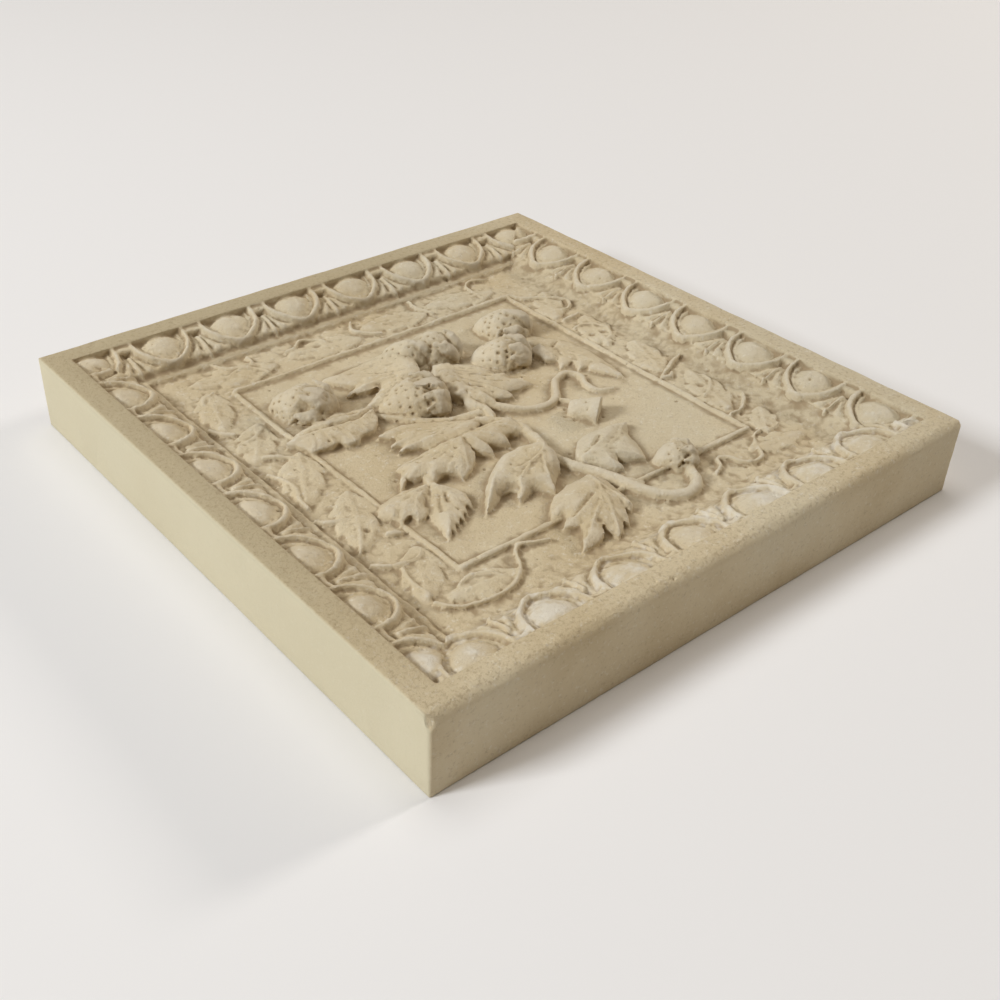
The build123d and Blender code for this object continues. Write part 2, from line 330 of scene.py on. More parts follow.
# Leaves of the spray: outline in plan with the height of the edge above the ground where it differs
# from the usual, veins that stand up, grooves, crown height and the distance it takes to rise
leafShape = {"edge": 1.6, "crown": 1.6, "fall": 4.5, "puff": 0.7, "rib": 0.75, "ribWidth": 0.42, "cut": 1.4,
             "finest": 0.9, "veins": [], "grooves": []}
leaves = [
    dict(  # under the left berry
        outline=[(-29, 21.5), (-34, 22.5), (-41, 24.5), (-50, 23.5), (-57, 21.5), (-61.5, 19), (-58.5, 15.5),
                 (-57.5, 11), (-52, 10), (-48, 10.4), (-47, 8), (-43, 7.6), (-41, 9.8), (-37, 9.6), (-33, 12),
                 (-30.5, 16, 2.6)],
        grooves=[[(-29, 20.5), (-36, 17.4), (-43, 17.6), (-52, 19.4), (-59, 20)],
                 [(-36, 20), (-41, 21), (-46, 22)]],
        veins=[[(-30, 19), (-36, 15.9), (-43, 16), (-52, 17.8), (-58, 18.4)], [(-34, 14.6), (-33, 12.6)],
               [(-39, 15.2), (-38, 10.2)], [(-44.6, 15.6), (-44, 8.4)], [(-49.6, 16), (-50, 10.4)],
               [(-54, 16.6), (-56, 12)]],
        edge=2.1, crown=1.3, puff=0.9, rib=0.7),
    dict(  # behind the middle berries, three lobes to the left
        outline=[(-5, 47, 2.5), (-14, 47.5, 0.6), (-24, 47.2, 0.4), (-31.5, 45.8, 0.8), (-29, 40, 2.0),
                 (-25.2, 34.8, 2.4), (-27, 33.8), (-30.2, 32.8, 1.0), (-25, 30, 2.4), (-20, 29.6, 2.8),
                 (-22, 26.8, 2.6), (-26, 25.4, 1.4), (-29.2, 24.2, 0.8), (-25.5, 21.2, 2.2), (-22, 19.5, 2.5),
                 (-10, 22, 4), (-2, 32, 4), (-2, 42, 4)],
        veins=[[(-30.5, 45), (-23, 38.5), (-14, 32)], [(-29, 32.2), (-22, 31.5), (-15, 30)]],
        crown=1.6, puff=0.7),
    dict(  # right of the middle berries, fan with long teeth
        outline=[(-5, 20, 4.5), (0, 28, 4), (6, 27.5, 2.6), (12, 24.5, 2.0), (16, 19), (15.5, 14.5),
                 (19.8, 12.4, 0.9), (17.5, 8.6), (22.4, 3.4, 0.8), (14, 2.6, 1.8), (9.8, 3.6, 2.2),
                 (11.8, -0.2, 1.0), (7, 1.0, 2.0), (4.6, 2.2, 2.2), (3.4, -1.6, 1.4), (-0.5, 0.6, 2.4),
                 (-3, 5, 3.2), (-6, 11, 4)],
        veins=[[(-2, 21), (8, 13), (21, 4.2)], [(-2, 17), (5, 8), (11, 0.6)], [(0, 24), (9, 19.5), (15.5, 15)],
               [(-3, 14), (1, 6), (3, -0.6)], [(2, 19), (12, 13), (18.5, 11.6)]],
        grooves=[[(6, 15.4), (12, 12.8)], [(1, 10), (4.5, 7.4)], [(8, 10.5), (14.5, 6.2)]],
        crown=2.2, fall=6, puff=0.8),
    dict(  # left of the node, three fingers
        outline=[(-6, -5), (-12, 0.5, 1.0), (-18, 4.5, 0.8), (-26, 8.6, 0.6), (-32, 8.8, 0.7), (-37.2, 7),
                 (-33.6, 2.2, 2.0), (-34.5, 1), (-37.6, -0.3), (-33.8, -2.4, 2.0), (-37.2, -3.8),
                 (-31.5, -5.6, 2.0), (-28.5, -8.5, 2.2), (-22, -9.5, 2.8), (-14, -9.5, 3)],
        veins=[[(-8, -5), (-20, -2.6), (-28, 2.4), (-36, 6)], [(-20, -2.6), (-28, -1.4), (-36.4, -0.6)],
               [(-16, -4), (-26, -5.4), (-35.5, -4.2)]],
        crown=1.3),
    dict(  # folded leaf left of the node
        outline=[(-19, -12, 3.8), (-20.5, -16, 3.4), (-21, -20, 2.6), (-25, -23.6, 2.0), (-30.2, -25.8, 1.6),
                 (-31.6, -23, 2.4), (-35, -21.2, 2.6), (-40, -23.8, 1.2), (-38.6, -19.2, 2.8),
                 (-41.5, -18.8, 2.6), (-44, -17), (-48.4, -20.2, 0.9), (-46.5, -16.5), (-43, -13.6, 1.2),
                 (-42.4, -9.8, 1.0), (-37, -10.6), (-32, -8.8), (-26, -8), (-21.5, -8.6, 2.6)],
        veins=[[(-20, -11.6), (-30, -14.6), (-38, -16), (-46, -18)], [(-22, -13.8), (-27, -18), (-32, -22)],
               [(-21.4, -13.4), (-24, -18.4), (-26.5, -23)], [(-24, -11), (-32, -10.6), (-41, -10.6)]],
        crown=1.9, puff=0.9, rib=0.8),
    dict(  # folded leaf right of the node
        outline=[(-20.5, -11, 3.6), (-17, -8.4, 2.2), (-11, -8.2, 1.8), (-5, -8.2, 2), (0.4, -9.8, 2.4),
                 (1.5, -13, 2.6), (-0.4, -19, 1.4), (-4, -16.8, 2.4), (-7.5, -16.8, 2.8), (-8, -20.8, 1.2),
                 (-12, -18.4, 2.6), (-15, -17.4, 3.0), (-15.4, -22, 1.4), (-19, -18.6, 2.8), (-20.5, -14.5, 3.4)],
        veins=[[(-20, -12), (-14, -13.2), (-8, -12), (0, -11.4)], [(-14, -13), (-11, -16), (-8.6, -20)],
               [(-18, -13), (-17, -17), (-15.6, -21)], [(-8, -12), (-4, -15), (-1, -18.4)]],
        grooves=[[(-13, -10.6), (-9.5, -10.4), (-5.5, -11)]],
        crown=1.8, puff=0.9, rib=0.8),
    dict(  # curled lobe at the left front
        outline=[(-41.5, -23, 2.2), (-46, -20.6, 1.0), (-53, -20.3, 0.8), (-58.5, -22.3, 0.8), (-60.2, -26, 0.9),
                 (-57.6, -30.4, 1.2), (-55.8, -28.6, 2.0), (-58.4, -32.8, 0.9), (-53.6, -31.2, 2.0),
                 (-53, -34.4, 1.0), (-49.5, -34, 1.4), (-45.5, -30), (-43, -27)],
        veins=[[(-42, -24), (-50, -25.2), (-58.5, -25.6)], [(-43, -25), (-49, -28), (-52.4, -32.6)]],
        grooves=[[(-45, -22.6), (-51, -22.8)], [(-46, -28.4), (-48, -31)]],
        crown=1.8, puff=0.9, rib=0.7),
    dict(  # sawtoothed lobe beside it
        outline=[(-40, -23.5, 2.4), (-37.5, -26.5, 1.6), (-35.6, -30), (-35, -33.5), (-37, -38, 1.0),
                 (-38.4, -36.4, 2.0), (-40.4, -40, 1.0), (-41, -38.6, 2.0), (-43, -42, 1.0), (-43.6, -40.2, 2.0),
                 (-45.6, -43, 1.0), (-46, -41.4, 1.8), (-48, -44.4, 0.9), (-48.4, -42.6, 1.5),
                 (-51.4, -45.6, 0.7), (-50.6, -41, 1.0), (-50, -36, 1.0), (-48, -32, 1.2), (-45, -28, 1.6),
                 (-42, -25, 2.0)],
        veins=[[(-40.3, -24.5), (-41.4, -30), (-43.4, -35), (-50, -44)],
               [(-40, -25.5), (-38, -29), (-36.6, -33.5)]],
        grooves=[[(-40.9, -30.5), (-42.4, -33.6)], [(-42.8, -30), (-46.6, -36)]],
        crown=1.7, puff=0.8, rib=0.6),
    dict(  # hooded leaf in front of the main stem, with three claws and two hollows
        outline=[(-3, -27, 2.4), (-8, -25, 1.6), (-12, -24.4, 1.5), (-16, -24.8, 1.4), (-21, -27.6, 1.2),
                 (-26, -31.4, 1.4), (-31, -36, 1.8), (-36.4, -43, 0.6), (-31.4, -41.2, 0.8), (-27.4, -38.8, 0.8),
                 (-24, -38.8, 0.8), (-22.8, -40.6, 1.0), (-25.4, -44.6, 0.6), (-20.8, -43.2, 0.9),
                 (-18, -42.6, 0.8), (-16.4, -44.4, 1.0), (-14.6, -48, 0.6), (-12, -44.6, 1.0),
                 (-8.8, -41.6, 1.4), (-5, -39.5, 2.4), (-2.5, -33, 4.0)],
        veins=[[(-2.5, -29), (-6.7, -33.6), (-12, -35), (-18, -35)], [(-8, -34.6), (-11.6, -40), (-14.2, -46.6)],
               [(-14, -35.6), (-20, -38.6), (-24.4, -43.6)], [(-24, -32.8), (-29.6, -37), (-35.4, -42.2)]],
        crown=3.3, fall=3.6, puff=0.4, rib=1.0),
    dict(  # right of the main stem, puffed upper half
        outline=[(1.5, -39.5, 2.2), (4, -36, 2.2), (8, -32.4, 2.2), (12, -31, 2), (18, -30.8), (24, -31.2),
                 (28.8, -32.2, 1.2), (27, -35), (24, -38, 1.4), (23, -41, 1.3), (22.4, -44, 1.2),
                 (20.6, -48, 1.2), (19, -50.6, 0.9), (14, -48.4, 2.2), (11.4, -45.8, 2.6), (10, -47.6, 2.0),
                 (9.8, -50.6, 0.9), (6.5, -48.6, 2.2), (4.5, -45, 2.4), (3, -43, 2.2), (0.5, -42, 2.2)],
        veins=[[(2, -40.2), (7, -41.6), (13, -41), (19, -38.6), (24, -35.2), (28.2, -33)],
               [(7, -41.6), (12, -44.6), (18.4, -49.8)], [(4, -42), (7, -46), (9.4, -50)]],
        grooves=[[(5, -39.4), (9, -38.6), (13, -36.4)]],
        crown=2.2, fall=5, puff=1.1, rib=0.8),
    dict(  # wide leaf at the front, two long points
        outline=[(-2, -47.5, 2.6), (-8, -47.2, 2.2), (-14, -47.8, 1.6), (-18, -49.2, 1.4), (-21, -52.5, 1.2),
                 (-24.2, -55.8, 1.0), (-20.6, -56.6, 2.2), (-20.4, -58.2, 2.2), (-24, -60.8, 1.2),
                 (-20.4, -63.4, 2.2), (-21.5, -66, 1.8), (-26.8, -71.6, 0.7), (-22, -71.8, 1.4),
                 (-18, -70.6, 2.2), (-15.6, -66.6, 3.0), (-14.6, -73.2, 1.0), (-11, -71.2, 2.0),
                 (-9.7, -68.6, 2.4), (-8.6, -71, 1.2), (-6.6, -68, 2.0), (-4.8, -64, 2.4), (-3.8, -66.6, 1.2),
                 (-1.4, -65, 1.6), (-0.8, -62, 2.0), (0, -57, 2.2), (0.4, -52, 2.4)],
        veins=[[(-3, -48), (-4.6, -54.6), (-9, -60), (-15, -64), (-21, -68), (-26, -71)],
               [(-6.4, -57.4), (-8, -62), (-11, -66.6), (-14, -72)], [(-4.4, -53.6), (-3.4, -59), (-3, -65)]],
        grooves=[[(-9, -56.4), (-14, -58.6), (-19.6, -60.2)]],
        crown=2.2, fall=6, puff=0.9, rib=0.9),
    dict(  # low leaf near the right line
        outline=[(38, 30, 2.0), (46, 27, 1.0), (52, 16, 0.6), (52.5, 0, 0.5), (49.4, -11.4, 0.8),
                 (46, -6.2, 1.4), (43.5, -1, 1.2), (45.4, 1.6, 1.2), (40.6, 1.2, 0.8), (42, 4.8, 1.2),
                 (43, 6.8, 1.4), (36.4, 5.4, 0.8), (38.6, 9, 1.2), (40, 13, 1.0), (37, 19, 1.4), (35.5, 25, 2.0)],
        veins=[[(39, 27), (45, 14), (48, 0), (49, -10)], [(43.6, 17), (40, 9), (37.2, 6)],
               [(46.4, 8), (42, 1.8)]],
        grooves=[[(41, 16), (48, 20)]],
        crown=0.6, puff=0.4, rib=0.4),
    dict(  # small lobe below the right pair of berries
        outline=[(36, 20, 2.4), (41, 20, 1.8), (43.5, 15), (42, 11.5), (39.6, 10.2, 1.0), (36.4, 10.4, 1.8),
                 (34.6, 12, 2.2), (35, 16, 2.6)],
        veins=[[(39, 20), (38.4, 15), (38.8, 11)]],
        crown=1.2, puff=0.5, rib=0.5),
]


def roundedOutline(outline):
    # soften the blunt corners of an outline and keep its points and notches sharp
    points = [Vector((*spot[:2], spot[2] if len(spot) > 2 else -1.0)) for spot in outline]
    soft = []
    for index, spot in enumerate(points):
        before, after = points[index - 1], points[(index + 1) % len(points)]
        turn = (spot.xy - before.xy).angle(after.xy - spot.xy)
        if turn > radians(62):
            soft.append(spot)
        else:
            soft.append(spot.lerp(before, 0.25))
            soft.append(spot.lerp(after, 0.25))
    return soft


def leafForm(spec):
    # carved leaf standing on the ground: crown, puffed lobes, veins and grooves
    points = [(*spot[:2], spot[2] if len(spot) > 2 else spec["edge"]) for spot in spec["outline"]]
    rim = roundedOutline(points)
    bm = bmesh.new()
    corners = [bm.verts.new((spot.x, spot.y, 0)) for spot in rim]
    bmesh.ops.triangulate(bm, faces=[bm.faces.new(corners)])
    for level in range(6):
        long = [edge for edge in bm.edges if edge.calc_length() > spec["finest"]]
        if not long:
            break
        bmesh.ops.subdivide_edges(bm, edges=long, cuts=1)
        bmesh.ops.triangulate(bm, faces=bm.faces)
    spots = np.array([vert.co.xy for vert in bm.verts])
    outline = [(spot.x, spot.y) for spot in rim]
    inside = awayFromLine(spots, outline + outline[:1])
    weights = 1 / (0.3 + ((spots[:, None, :] - np.array(outline)[None]) ** 2).sum(2)) ** 1.5
    edgeHeight = (weights * np.array([spot.z for spot in rim])).sum(1) / weights.sum(1)
    rise = np.clip(inside / spec["fall"], 0, 1)
    height = edgeHeight + spec["crown"] * (1 - (1 - rise) ** 2)
    if spec["veins"]:
        fromVeins = np.min([awayFromLine(spots, vein) for vein in spec["veins"]], axis=0)
        height += spec["puff"] * (np.clip(fromVeins / 2.0, 0, 1) ** 0.8 - 0.6) * rise
        height += spec["rib"] * np.exp(-(fromVeins / spec["ribWidth"]) ** 2)
    for groove in spec["grooves"]:
        height -= spec["cut"] * np.exp(-(awayFromLine(spots, groove) / 0.5) ** 2) * (0.5 + 0.5 * rise)
    for vert, level in zip(bm.verts, height):
        vert.co.z = ground + max(level, 0.3)
    closeBelow(bm, ground - 1.2)
    return bm


for spec in leaves:
    stamp(leafForm({**leafShape, **spec}))
print("leaves made")


# Low leaves and vine lines of the border outside the panel line
borderShape = {"teeth": 3, "notch": 0.28, "ridge": 0.85, "edge": 0.45}
vineShape = {"radius": 0.75, "rise": 0.85, "wall": 0.8, "widths": (0.7, 1.0, 0.6)}
borderLeaves = [  # base, tip, half width
    ((-60, -42), (-72, -63), 6.5), ((-44, -67), (-67, -64.5), 5.2), ((48, -65), (70, -69), 4.8),
    ((60, -62), (71, -50), 5.0),
    ((61, -46), (70, -20), 6.5), ((62, -16), (70, 6), 6.5), ((61, 8), (70, 30), 6.8), ((60, 33), (71, 53), 6.0),
    ((56, 63), (28, 69), 6.2), ((26, 64), (0, 68.5), 6.4), ((-3, 63), (-31, 67), 6.5), ((-36, 64), (-66, 69), 6.8),
    ((-64, 62), (-71, 38), 6.0), ((-61, 36), (-73, 17), 6.6), ((-60, 15), (-73, -10), 7.0),
    ((-60, -10), (-72, -36), 6.8),
]
borderVines = [
    [(-71, -64), (-69, -67), (-65, -70), (-56, -71.5), (-49, -70), (-44, -66), (-41, -60.5), (-38, -59),
     (-34, -60.5), (-30, -62)],
    [(30, -68), (34, -66), (36, -63), (39, -64.5), (41, -68.5), (44, -70.5), (48, -70), (51, -65.5), (55, -61),
     (59, -60)],
    [(58, 58), (61, 52), (66, 49), (71, 45.5), (73, 41), (69, 37), (62, 38)],
    [(60, 24), (65, 24), (69, 19), (67, 13), (61, 10)],
    [(60, -18), (65, -16), (70, -13.5), (75, -12)],
    [(61, -35.4), (65, -34), (69.6, -30), (71, -25.6)],
    [(59, -48), (64, -48), (69, -45), (72, -42)],
    [(49, 61), (49.5, 68), (51, 73), (55, 75), (61, 72.5)],
    [(26, 75.5), (25.2, 70), (27.5, 62)],
    [(4, 61), (0, 64), (-3, 69), (0, 74.5)],
    [(-15, 67), (-17, 71), (-22, 73), (-26, 70), (-30, 69.5)],
    [(-42, 74), (-43, 69), (-48, 69.5), (-52, 72), (-54, 76)],
    [(-54, 66), (-49, 68), (-44, 66.5), (-41, 61)],
    [(-75, 41), (-73, 37), (-70, 34)],
    [(-71, 28), (-66, 29.5), (-61, 33)],
    [(-70, 18.5), (-66, 16), (-62, 12)],
    [(-74, 10), (-72, 6), (-71, 0), (-73, -6), (-73.5, -11)],
    [(-75.5, -17), (-73, -20), (-68, -21.5)],
    [(-67, -26), (-70, -31), (-74, -36.5)],
    [(-75, -42), (-70, -46), (-63, -47), (-60, -44)],
    [(-69, -48), (-70.5, -54), (-70, -61)],
    [(-63.5, -33.6), (-60, -35.6)],
    [(-69, 55), (-67, 58), (-62, 60.5)],
    [(61, 31), (65, 30.6), (69, 31.4)],
    [(58.6, -18.6), (61.6, -20), (64, -18.4)],
    [(-62, -62.4), (-57, -61.2), (-52, -63.6), (-49.6, -68)],
]


def bladeForm(base, tip, halfWidth):
    # low toothed leaf with soft edges
    lengthSteps, widthSteps = 44, 24
    base, tip = Vector(base), Vector(tip)
    length = (tip - base).length
    along = (tip - base) / length
    side = Vector((-along.y, along.x))
    bm = bmesh.new()
    bmesh.ops.create_grid(bm, x_segments=lengthSteps, y_segments=widthSteps, size=1)
    for vert in bm.verts:
        u, v = (vert.co.x + 1) / 2, vert.co.y
        body = sin(pi * u ** 0.75) ** 0.7
        phase = (u * borderShape["teeth"]) % 1 if u < 1 else 1
        width = halfWidth * body * (1 - borderShape["notch"] * (1 - phase) * v * v)
        spot = base + along * (u * length + v * v * halfWidth * body * 0.4 * (1 - u)) + side * (v * width)
        crown = borderShape["edge"] + (borderShape["ridge"] - borderShape["edge"]) * (1 - v * v)
        lobe = 0.35 * sin(pi * phase) * abs(v) * body
        vein = 0.35 * exp(-(v * width / 0.7) ** 2)
        vert.co = (spot.x, spot.y, ground + (crown + lobe + vein) * min(1, 3 * body))
    closeBelow(bm, ground - 1.0)
    return bm


for base, tip, halfWidth in borderLeaves:
    stamp(bladeForm(base, tip, halfWidth))
for line in borderVines:
    points = [(x, y, ground + vineShape["rise"]) for x, y in line]
    stamp(roundedRib(points, vineShape["radius"], vineShape["wall"], widths=vineShape["widths"]))
print("border leaves and vines made")


# Stems: points along the middle line with heights above the ground, radius, widths along it
stems = [
    ([(-8, -4, 1.8), (-3, -8, 1.8), (0, -14, 2.2), (-0.6, -22, 2.6), (-2.6, -29, 3.6), (-6.7, -34.8, 4.4),
     (-12, -37, 4.6)],
     1.45, (1.1, 1.1, 1.0, 0.8, 0.5)),
    ([(-3, -31, 1.4), (-1.5, -38, 1.6), (1.2, -45, 1.8), (3.6, -52, 1.8), (5.6, -59, 1.8), (9.5, -66.5, 1.6),
      (15.5, -70.2, 1.5), (21.5, -68, 1.5), (25, -62, 1.6)], 1.85, (0.9, 1.0, 1.05, 1.0, 0.9)),
    ([(0, 3, 1.6), (5, -3, 1.4), (10, -7.8, 1.3), (16, -9.6, 1.3), (21.5, -8.2, 1.3), (26, -3, 1.3), (30, 0.6, 1.3),
      (35, 1.6, 1.2), (37.4, -2.4, 1.2), (35.6, -8, 1.1), (37, -12.4, 1.0), (41.6, -14.4, 0.8)],
     1.35, (1.15, 1.0, 1.0, 0.9, 0.7)),
    ([(-40, -24, 1.4), (-39, -19.4, 2.0), (-34, -16, 2.4), (-28, -14, 2.6)], 1.0, (0.8, 1.1)),
    ([(-43, 28, 1.6), (-36, 22.8, 1.2), (-29, 17, 1.0), (-20, 6, 1.2), (-12, 0.5, 1.4), (-4, -1.5, 1.8)], 1.35,
     (0.8, 0.8, 1.0, 1.3)),
    ([(21, -8.6, 1.0), (23.4, -11.4, 1.0), (24, -14, 1.2)], 1.0, (0.9, 1.1)),
    ([(3.4, -54, 1.8), (6.4, -56.8, 1.8), (8.6, -59.6, 1.4)], 1.3, (1.0, 0.9)),
    ([(-3, 6, 2.4), (-3.2, 2.6, 2.6), (-2.0, -1.6, 2.4), (-3, -6, 2.0)], 1.8, (0.9, 1.1, 0.9)),
    ([(1, 3.5, 1.8), (-1, 0, 2.2), (-2, -5, 2.0)], 1.3, (0.9, 1.0)),
]
for points, radius, widths in stems:
    line = [(x, y, ground + height - radius * 0.35) for x, y, height in points]
    stamp(roundedRib(line, radius, 1.4, widths=widths))
print("stems made")


# Strawberries: middle x, middle y, way the tip points, length, radius, axis height, how ragged the calyx is
berries = [
    (-46.0, 35.2, 125, 21.0, 8.8, 16.1, 1.0),
    (-16.5, 17.2, 160, 23.0, 10.3, 14.6, 1.0),
    (-0.7, 41.0, 125, 18.0, 7.4, 16.6, 0.3),
    (8.0, 38.8, 122, 20.0, 8.6, 16.5, 0.5),
    (38.4, 38.0, 128, 20.0, 8.4, 16.1, 0.7),
    (24.5, 22.5, 140, 20.0, 8.2, 16.3, 0.8),
    (25.4, -55.5, 150, 13.0, 6.0, 16.6, 0.9),
]
calyx = {"sepals": 7, "width": 0.2}
# small fruit cut off flat: middle, way the cut faces, length, radii at its tip and at the cut, axis height
stub = {"x": 23.2, "y": -19.4, "turn": -55, "length": 10.0, "tip": 3.0, "cut": 5.4, "height": 17.6, "round": 1.8}


def berryPlace(berry):
    middleX, middleY, turn, length, radius, height = berry[:6]
    return Matrix.Translation((middleX, middleY, height)) @ Matrix.Rotation(radians(turn), 4, "Z")


def toBerry(points, berry):
    # the points in the berry's own directions, with its axis along X
    back = np.array(berryPlace(berry).inverted())
    return points @ back[:3, :3].T + back[:3, 3]


def fromBerry(spots, berry):
    forward = np.array(berryPlace(berry))
    return spots @ forward[:3, :3].T + forward[:3, 3]


def berryForm(berry):
    # plump fruit with its tip along local +X
    length, radius = berry[3], berry[4]
    bm = bmesh.new()
    bmesh.ops.create_uvsphere(bm, u_segments=40, v_segments=28, radius=1)
    bmesh.ops.rotate(bm, matrix=Matrix.Rotation(pi / 2, 3, "Y"), verts=bm.verts)
    for vert in bm.verts:
        a = vert.co.x
        taper = 1 - 0.30 * max(0.0, a) ** 1.5 + 0.05 * max(0.0, -a)
        vert.co.y *= taper
        vert.co.z *= taper
        vert.co.x = a - 0.05 * (1 - a * a)
    bmesh.ops.scale(bm, vec=(length / 2, radius, radius), verts=bm.verts)
    bmesh.ops.transform(bm, matrix=berryPlace(berry), verts=bm.verts)
    return bm


def stubForm():
    # the small fruit, round at its tip
    bm = bmesh.new()
    bmesh.ops.create_cone(
        bm, cap_ends=True, segments=40, radius1=stub["tip"], radius2=stub["cut"], depth=stub["length"])
    tip = min(bm.faces, key=lambda face: face.calc_center_median().z)
    bmesh.ops.bevel(
        bm, geom=list(tip.edges), offset=stub["round"], segments=5, profile=0.5, affect="EDGES", material=-1)
    bmesh.ops.rotate(bm, matrix=Matrix.Rotation(pi / 2, 3, "Y"), verts=bm.verts)
    bmesh.ops.rotate(bm, matrix=Matrix.Rotation(radians(stub["turn"]), 3, "Z"), verts=bm.verts)
    bmesh.ops.translate(bm, vec=(stub["x"], stub["y"], stub["height"]), verts=bm.verts)
    return bm


stamp(stubForm())

calyxRandom = np.random.default_rng(23)


def stampSepal(berry, around, line, widths):
    # pointed strap along a line given as distances along the axis and out from it
    place = berryPlace(berry)
    ray = Vector((0, sin(around), cos(around)))
    points = [place @ (Vector((x, 0, 0)) + ray * out) for x, out in line]
    facing = place.to_3x3() @ ray
    stamp(roundedRib(points, berry[4] * calyx["width"], widths=widths, flat=0.6, facing=facing, steps=5))


for berry in berries:
    stamp(berryForm(berry))
    length, radius = berry[3], berry[4]
    sepals = max(3, round(calyx["sepals"] * berry[6]))
    for index in range(sepals):
        around = radians(-100 + 200 * index / (sepals - 1) + calyxRandom.uniform(-8, 8))
        reach = calyxRandom.uniform(-0.16, 0.02) * length
        lift = calyxRandom.uniform(0.2, 1.4)
        stampSepal(berry, around, [
            (-length * 0.50, radius * 0.15), (-length * 0.44, radius * 0.62), (-length * 0.30, radius * 0.94),
            (reach, radius * 1.02 + lift)], (0.7, 1.3, 1.5, 0.35))
print("strawberries made")


# Fuse everything into one casting
casting = {"voxel": 0.42, "quickVoxel": 0.8, "triangles": 188000}


def evaluated(source, name):
    # the mesh after its modifiers
    graph = bpy.context.evaluated_depsgraph_get()
    mesh = bpy.data.meshes.new_from_object(source.evaluated_get(graph))
    mesh.name = name
    return mesh


roughMesh = bpy.data.meshes.new("rough_casting")
tileForms.to_mesh(roughMesh)
tileForms.free()
tile = addObject("cast_relief", roughMesh)
fuse = tile.modifiers.new("fuse", "REMESH")
fuse.mode = "VOXEL"
fuse.voxel_size = casting["voxel"]
fusedMesh = evaluated(tile, "fused_casting")
tile.modifiers.remove(fuse)
tile.data = fusedMesh
print("fused:", len(fusedMesh.vertices), "vertices")


def readPoints(mesh):
    flat = np.empty(len(mesh.vertices) * 3)
    mesh.vertices.foreach_get("co", flat)
    return flat.reshape(-1, 3)


def readNormals(mesh):
    flat = np.empty(len(mesh.vertices) * 3)
    mesh.vertex_normals.foreach_get("vector", flat)
    return flat.reshape(-1, 3)


def writePoints(mesh, points):
    mesh.vertices.foreach_set("co", points.ravel())
    mesh.update()


# Hand-made unevenness: lumps in millimetres as size, height and share on the flat sides, then how much
# of it the flat ground of the panel, the border and the mouldings get and where each of them ends
surface = {"lumps": [(9.0, 0.22, 0.25), (3.4, 0.20, 0.08), (1.5, 0.14, 0.06), (0.9, 0.09, 0.1)], "flatShare": 0.3,
           "border": 1.05, "mouldings": 0.8, "panelEnd": 58, "borderEnd": 76.5, "reliefEnd": 93.2}
# Worn edges: rounding radius in millimetres of the front, left, back and right top edges
wear = {"front": 3.4, "left": 0.9, "back": 1.2, "right": 1.6, "upright": 1.6, "bottom": 0.6}


def inRelief(points):
    # 1 on the relief, less on the flat ground of the panel, 0 on the slab's own faces
    out = np.maximum(np.abs(points[:, 0]), np.abs(points[:, 1]))
    flat = np.clip((points[:, 2] - ground - 0.1) / 0.5, surface["flatShare"], 1)
    least = np.where(out < surface["borderEnd"], surface["border"], surface["mouldings"])
    flat = np.where(out > surface["panelEnd"], np.maximum(flat, least), flat)
    return np.clip((surface["reliefEnd"] - out) / 1.5, 0, 1) * (points[:, 2] > 8) * flat


# Right and front: the moulding runs into the ground as a soft cove without a fillet
cove = {"foot": 73.0, "top": 80.5, "ripple": 0.5}


def softenCove(points):
    foot, top = cove["foot"], cove["top"]
    for side, other in ((points[:, 0], points[:, 1]), (-points[:, 1], points[:, 0])):
        near = (side > foot) & (side < top) & (np.abs(other) < side) & (points[:, 2] > 15)
        share = (side[near] - foot) / (top - foot)
        soft = ground + (throughPoints(top, slab["steps"]) - ground) * share * share
        above = points[near, 2] - throughPoints(side[near], slab["steps"] + [(0.0, ground)])
        points[near, 2] = soft + np.where(np.abs(above) < cove["ripple"], 0, above)


def addLumps(points, normals):
    relief = inRelief(points)
    for seed, (size, height, share) in enumerate(surface["lumps"]):
        amount = latticeNoise(points, size, 40 + seed) * height
        points += normals * (amount * (share + (1 - share) * relief))[:, None]


def roundEdge(points, first, second, firstSide, secondSide, limitFirst, limitSecond, radius):
    # pull the points outside a quarter circle back onto it along one outer edge
    deepA = (points[:, first] * firstSide) - (limitFirst - radius)
    deepB = (points[:, second] * secondSide) - (limitSecond - radius)
    reach = np.hypot(np.maximum(deepA, 0), np.maximum(deepB, 0))
    touched = (deepA > 0) & (deepB > 0) & (reach > radius)
    scale = np.where(touched, radius / np.maximum(reach, 1e-6), 1)
    points[:, first] = np.where(touched, firstSide * (limitFirst - radius + deepA * scale), points[:, first])
    points[:, second] = np.where(touched, secondSide * (limitSecond - radius + deepB * scale), points[:, second])


def wearEdges(points):
    roughness = 1 + 0.22 * latticeNoise(points, 9.0, 61) + 0.08 * latticeNoise(points, 2.5, 62)
    for axis, side, name in ((1, -1, "front"), (0, -1, "left"), (1, 1, "back"), (0, 1, "right")):
        roundEdge(points, axis, 2, side, 1, halfSide, tileHeight, wear[name] * roughness)
    for sideX, sideY in ((1, -1), (1, 1), (-1, 1), (-1, -1)):
        radius = wear["upright"] if sideX > 0 else wear["upright"] * 0.6
        roundEdge(points, 0, 1, sideX, sideY, halfSide, halfSide, radius * roughness)
    turned = points * np.array([1, 1, -1]) + np.array([0, 0, tileHeight])
    for axis, side in ((0, 1), (0, -1), (1, 1), (1, -1)):
        roundEdge(turned, axis, 2, side, 1, halfSide, tileHeight, wear["bottom"] * roughness)
    points[:, :2] = turned[:, :2]
    points[:, 2] = tileHeight - turned[:, 2]


